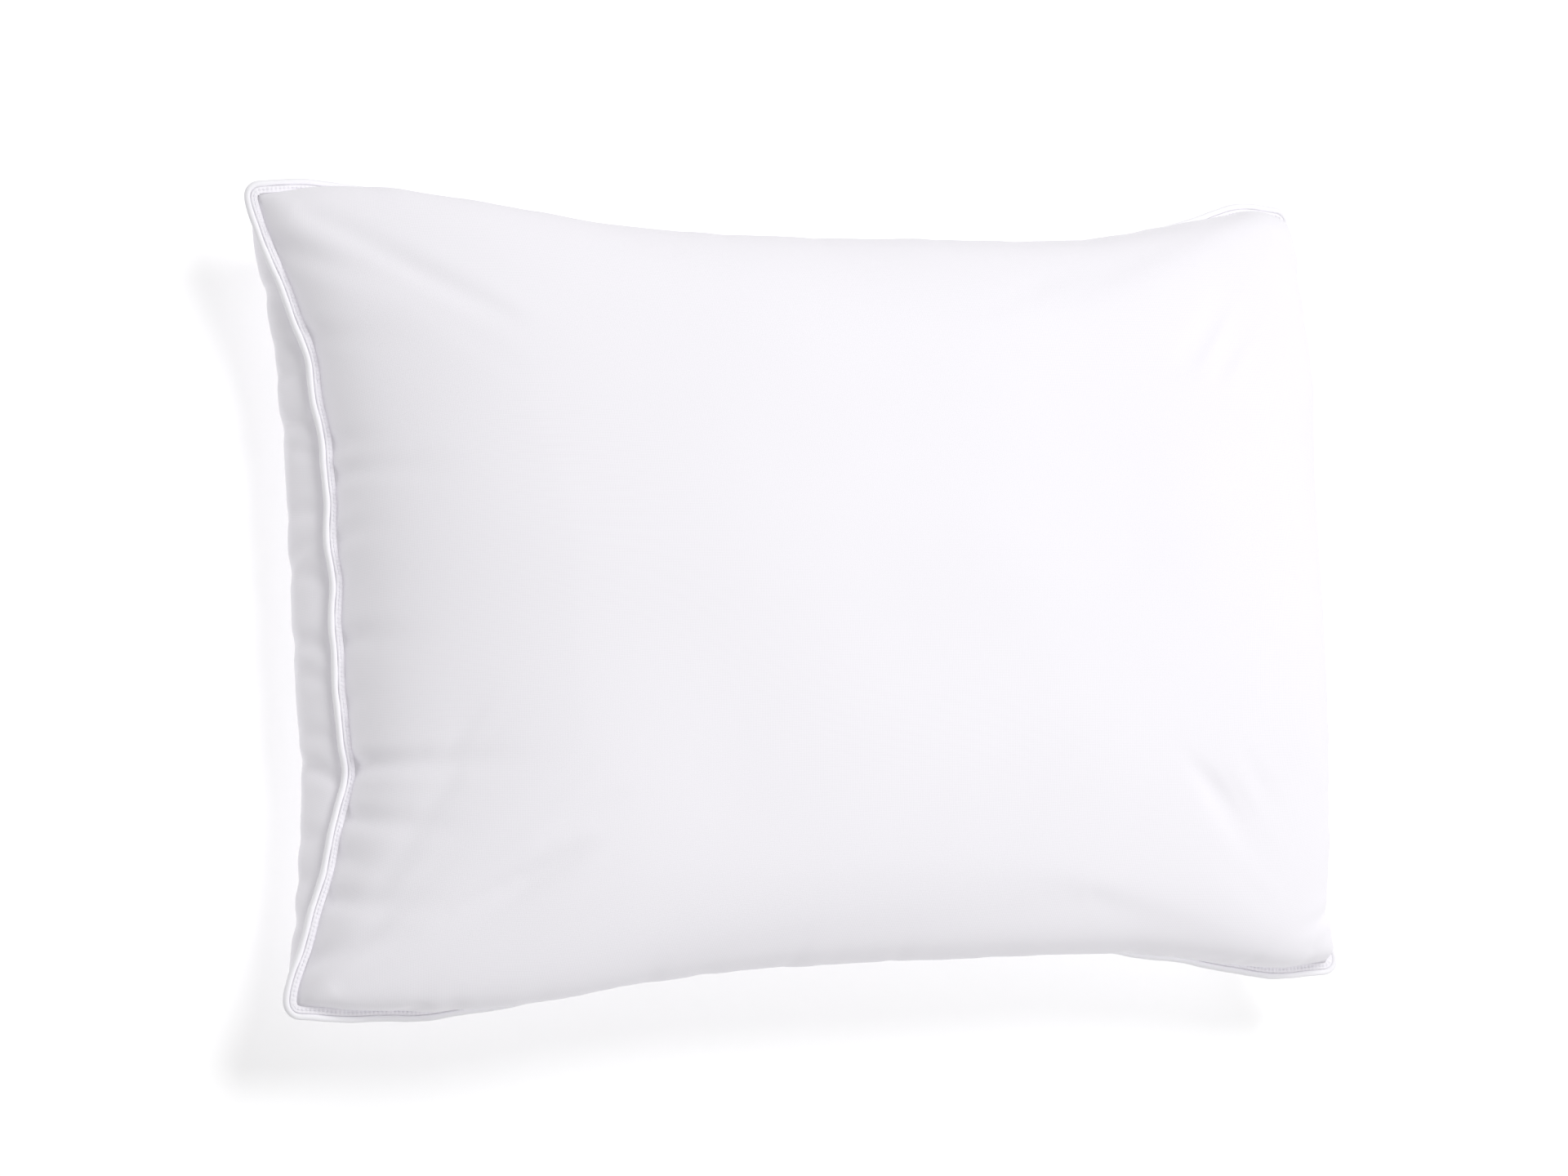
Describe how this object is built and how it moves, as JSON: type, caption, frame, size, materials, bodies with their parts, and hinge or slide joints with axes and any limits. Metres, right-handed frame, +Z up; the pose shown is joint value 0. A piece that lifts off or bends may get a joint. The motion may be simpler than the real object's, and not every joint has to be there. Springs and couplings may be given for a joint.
{
  "type": "bed pillow",
  "caption": "Plump rectangular bed pillow in white cotton with a corded, topstitched edge, a fibre filling and a small blank care label.",
  "frame": {"origin": "middle of the flat patch that the pillow rests on, at the base", "axes": "+X along the length, +Y across the width, +Z up from the back panel through the front panel"},
  "size_m": [0.7144, 0.4936, 0.186],
  "materials": {
    "cotton_percale": "matte plain-woven cotton",
    "cotton_bias": "matte bias-cut cotton over cord",
    "cotton_cord": "matte twisted cotton",
    "polyester_fibre": "soft lofted fibre",
    "sewing_thread": "slightly glossy spun polyester thread",
    "label_tape": "smooth woven tape"
  },
  "bodies": {
    "root": {"front_panel": "cotton_percale", "back_panel": "cotton_percale", "fibre_fill": "polyester_fibre", "piping_cord": "cotton_cord", "piping_cover": "cotton_bias", "seam_thread": "sewing_thread", "topstitch_needle_thread": "sewing_thread", "topstitch_bobbin_thread": "sewing_thread", "overlock_thread": "sewing_thread", "closing_stitch": "sewing_thread", "care_label": "label_tape", "label_stitch": "sewing_thread"}
  },
  "joints": []
}
